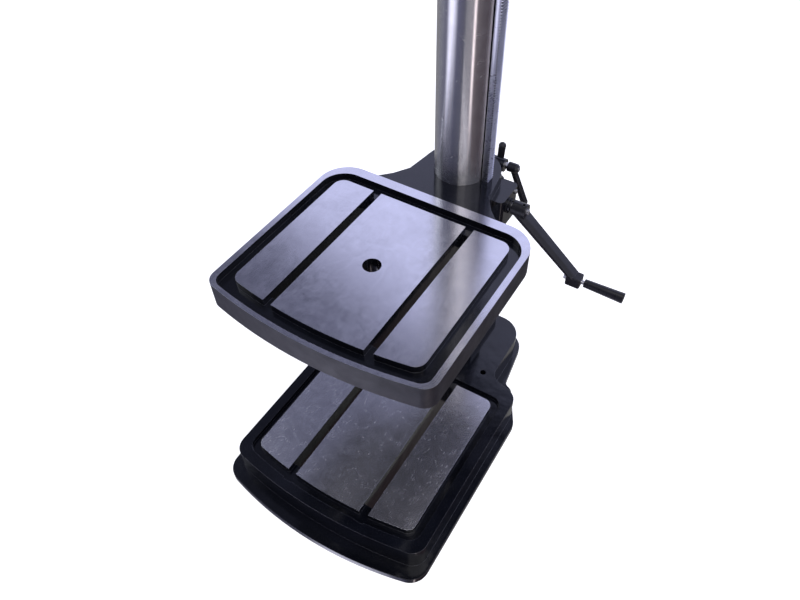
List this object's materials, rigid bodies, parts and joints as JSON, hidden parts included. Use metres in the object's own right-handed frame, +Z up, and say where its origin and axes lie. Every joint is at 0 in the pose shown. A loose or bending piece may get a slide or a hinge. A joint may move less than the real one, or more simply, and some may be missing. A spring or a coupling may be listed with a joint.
{
  "type": "drill press",
  "caption": "Floor-standing pillar drill with a crank-raised swinging table, slotted base, rack and pinion quill feed, keyed chuck and stepped belt drive.",
  "frame": {"origin": "column axis at floor level, on the underside of the base", "axes": "+Z up along the column, -Y towards the operator and the spindle, +X to the operator's right where the table crank is"},
  "size_m": [0.5935, 0.866, 1.712],
  "materials": {
    "black_enamel": "glossy black enamel over cast iron",
    "table_iron": "black enamel with ground bright working faces",
    "ground_steel": "bright ground steel",
    "rack_steel": "milled bright steel",
    "zinc_steel": "zinc plated steel",
    "gear_steel": "oiled cut steel",
    "black_lever": "satin black moulded",
    "black_crank": "satin black coated cast iron",
    "chuck_steel": "turned and knurled steel",
    "bearing_steel": "polished bearing steel",
    "spring_steel": "blued spring steel",
    "pulley_alloy": "turned aluminium",
    "belt_rubber": "black rubber V-belt",
    "cover_paint": "glossy black sheet steel",
    "motor_paint": "satin black motor paint",
    "switch_plastic": "black moulded box",
    "green_plastic": "green push button",
    "red_plastic": "red mushroom button",
    "bakelite": "black phenolic"
  },
  "bodies": {
    "frame": {"base_casting": "black_enamel", "column_flange": "black_enamel", "flange_bolts": "black_enamel", "column_tube": "ground_steel", "rack_ring": "black_enamel", "set_screws": "zinc_steel", "head_casting": "black_enamel", "spring_cup": "cover_paint", "return_spring": "spring_steel", "sleeve_bearings": "bearing_steel", "idler_shaft": "gear_steel", "front_belt": "belt_rubber", "rear_belt": "belt_rubber", "cover_pan": "cover_paint", "hinge_pins": "zinc_steel", "motor_body": "motor_paint", "motor_fan_cover": "motor_paint", "terminal_box": "motor_paint", "motor_plate": "black_crank", "motor_bolts": "zinc_steel", "motor_slide_bars": "ground_steel", "switch_box": "switch_plastic"},
    "swing": {"rack": "rack_steel"},
    "table": {"table_casting": "table_iron", "gearbox_cover": "black_crank", "lift_gear_pin": "zinc_steel", "clamp_studs": "ground_steel"},
    "gear": {"lift_gear": "gear_steel"},
    "crank": {"worm_shaft": "gear_steel", "crank_arm": "black_crank", "grip_bolt": "ground_steel"},
    "grip": {"crank_grip": "black_lever"},
    "upper_lever": {"clamp_lever_upper": "black_lever"},
    "lower_lever": {"clamp_lever_lower": "black_lever"},
    "quill": {"quill_tube": "gear_steel", "quill_bearings": "bearing_steel", "depth_bracket": "gear_steel", "depth_rod": "ground_steel", "depth_nuts": "zinc_steel"},
    "spindle": {"spindle_shaft": "gear_steel", "chuck_body": "chuck_steel"},
    "sleeve": {"chuck_sleeve": "chuck_steel"},
    "jaw_1": {"chuck_jaw_1": "chuck_steel"},
    "jaw_2": {"chuck_jaw_2": "chuck_steel"},
    "jaw_3": {"chuck_jaw_3": "chuck_steel"},
    "feed": {"feed_shaft": "gear_steel", "feed_hub": "black_crank", "feed_spokes": "gear_steel", "feed_knobs": "bakelite"},
    "quill_lock": {"quill_lock_lever": "chuck_steel"},
    "spindle_drive": {"spindle_pulley": "pulley_alloy", "spindle_sleeve": "gear_steel"},
    "idler": {"idler_pulley": "pulley_alloy"},
    "motor_rotor": {"motor_pulley": "pulley_alloy", "motor_shaft": "gear_steel"},
    "lid": {"cover_lid": "cover_paint", "lid_knob": "bakelite"},
    "start": {"start_button": "green_plastic"},
    "stop": {"stop_button": "red_plastic"}
  },
  "joints": [
    {"name": "table_swing", "type": "hinge", "parent": "frame", "child": "swing", "pos_m": [0, 0, 0.5], "axis": [0, 0, 1], "continuous": true},
    {"name": "table_lift", "type": "slide", "parent": "swing", "child": "table", "axis": [0, 0, 1], "range_m": [-0.22, 0.48]},
    {"name": "crank_turn", "type": "hinge", "parent": "table", "child": "crank", "pos_m": [0.127, 0.006, 0.481], "axis": [-1, 0, 0], "range_deg": [-16800, 36660]},
    {"name": "lift_gear_turn", "type": "hinge", "parent": "table", "child": "gear", "pos_m": [0.0736, 0.0015, 0.461], "axis": [0, -1, 0], "range_deg": [-1052, 2293]},
    {"name": "grip_spin", "type": "hinge", "parent": "crank", "child": "grip", "pos_m": [0.3175, 0.01404, 0.35325], "axis": [1, 0, 0], "continuous": true},
    {"name": "clamp_turn_upper", "type": "hinge", "parent": "table", "child": "upper_lever", "pos_m": [0.0765, 0.07, 0.517], "axis": [1, 0, 0], "range_deg": [-12, 60]},
    {"name": "clamp_turn_lower", "type": "hinge", "parent": "table", "child": "lower_lever", "pos_m": [0.0395, 0.086, 0.465], "axis": [1, 0, 0], "range_deg": [-60, 0]},
    {"name": "feed_turn", "type": "hinge", "parent": "frame", "child": "feed", "pos_m": [0.017, -0.254, 1.35], "axis": [1, 0, 0], "range_deg": [0, 491], "stiffness_Nm_per_rad": 0.4, "springref_deg": -401.07},
    {"name": "quill_feed", "type": "slide", "parent": "frame", "child": "quill", "axis": [0, 0, -1], "range_m": [0, 0.12]},
    {"name": "quill_lock_turn", "type": "hinge", "parent": "frame", "child": "quill_lock", "pos_m": [0.078, -0.3603, 1.4], "axis": [0.7973, -0.6036, 0], "range_deg": [-40, 8]},
    {"name": "drive_spin", "type": "hinge", "parent": "frame", "child": "spindle_drive", "pos_m": [0, -0.302, 1.6], "axis": [0, 0, 1], "continuous": true},
    {"name": "spindle_spin", "type": "hinge", "parent": "quill", "child": "spindle", "pos_m": [0, -0.302, 1.3], "axis": [0, 0, 1], "continuous": true},
    {"name": "idler_spin", "type": "hinge", "parent": "frame", "child": "idler", "pos_m": [0, -0.09, 1.6], "axis": [0, 0, 1], "continuous": true},
    {"name": "motor_spin", "type": "hinge", "parent": "frame", "child": "motor_rotor", "pos_m": [0, 0.175, 1.55], "axis": [0, 0, 1], "continuous": true},
    {"name": "chuck_turn", "type": "hinge", "parent": "spindle", "child": "sleeve", "pos_m": [0, -0.302, 1.214], "axis": [0, 0, 1], "range_deg": [0, 1075]},
    {"name": "jaw_slide_1", "type": "slide", "parent": "spindle", "child": "jaw_1", "axis": [0, 0.309, 0.9511], "range_m": [0, 0.014]},
    {"name": "jaw_slide_2", "type": "slide", "parent": "spindle", "child": "jaw_2", "axis": [-0.2676, -0.1545, 0.9511], "range_m": [0, 0.014]},
    {"name": "jaw_slide_3", "type": "slide", "parent": "spindle", "child": "jaw_3", "axis": [0.2676, -0.1545, 0.9511], "range_m": [0, 0.014]},
    {"name": "lid_open", "type": "hinge", "parent": "frame", "child": "lid", "pos_m": [-0.116, -0.05, 1.568], "axis": [0, -1, 0], "range_deg": [0, 100]},
    {"name": "start_press", "type": "slide", "parent": "frame", "child": "start", "axis": [0, 1, 0], "range_m": [0, 0.0025], "stiffness_N_per_m": 600, "springref_m": -0.002},
    {"name": "stop_press", "type": "slide", "parent": "frame", "child": "stop", "axis": [0, 1, 0], "range_m": [0, 0.0028], "stiffness_N_per_m": 600, "springref_m": -0.002}
  ],
  "couplings": [
    {"joint": "table_lift", "follows": "crank_turn", "m_per_rad": 0.00075},
    {"joint": "lift_gear_turn", "follows": "crank_turn", "ratio": 0.0625},
    {"joint": "quill_feed", "follows": "feed_turn", "m_per_rad": 0.014},
    {"joint": "spindle_spin", "follows": "drive_spin", "ratio": 1},
    {"joint": "idler_spin", "follows": "drive_spin", "ratio": 1.975},
    {"joint": "motor_spin", "follows": "drive_spin", "ratio": 3.9006},
    {"joint": "jaw_slide_1", "follows": "chuck_turn", "m_per_rad": 0.000743},
    {"joint": "jaw_slide_2", "follows": "chuck_turn", "m_per_rad": 0.000743},
    {"joint": "jaw_slide_3", "follows": "chuck_turn", "m_per_rad": 0.000743}
  ]
}
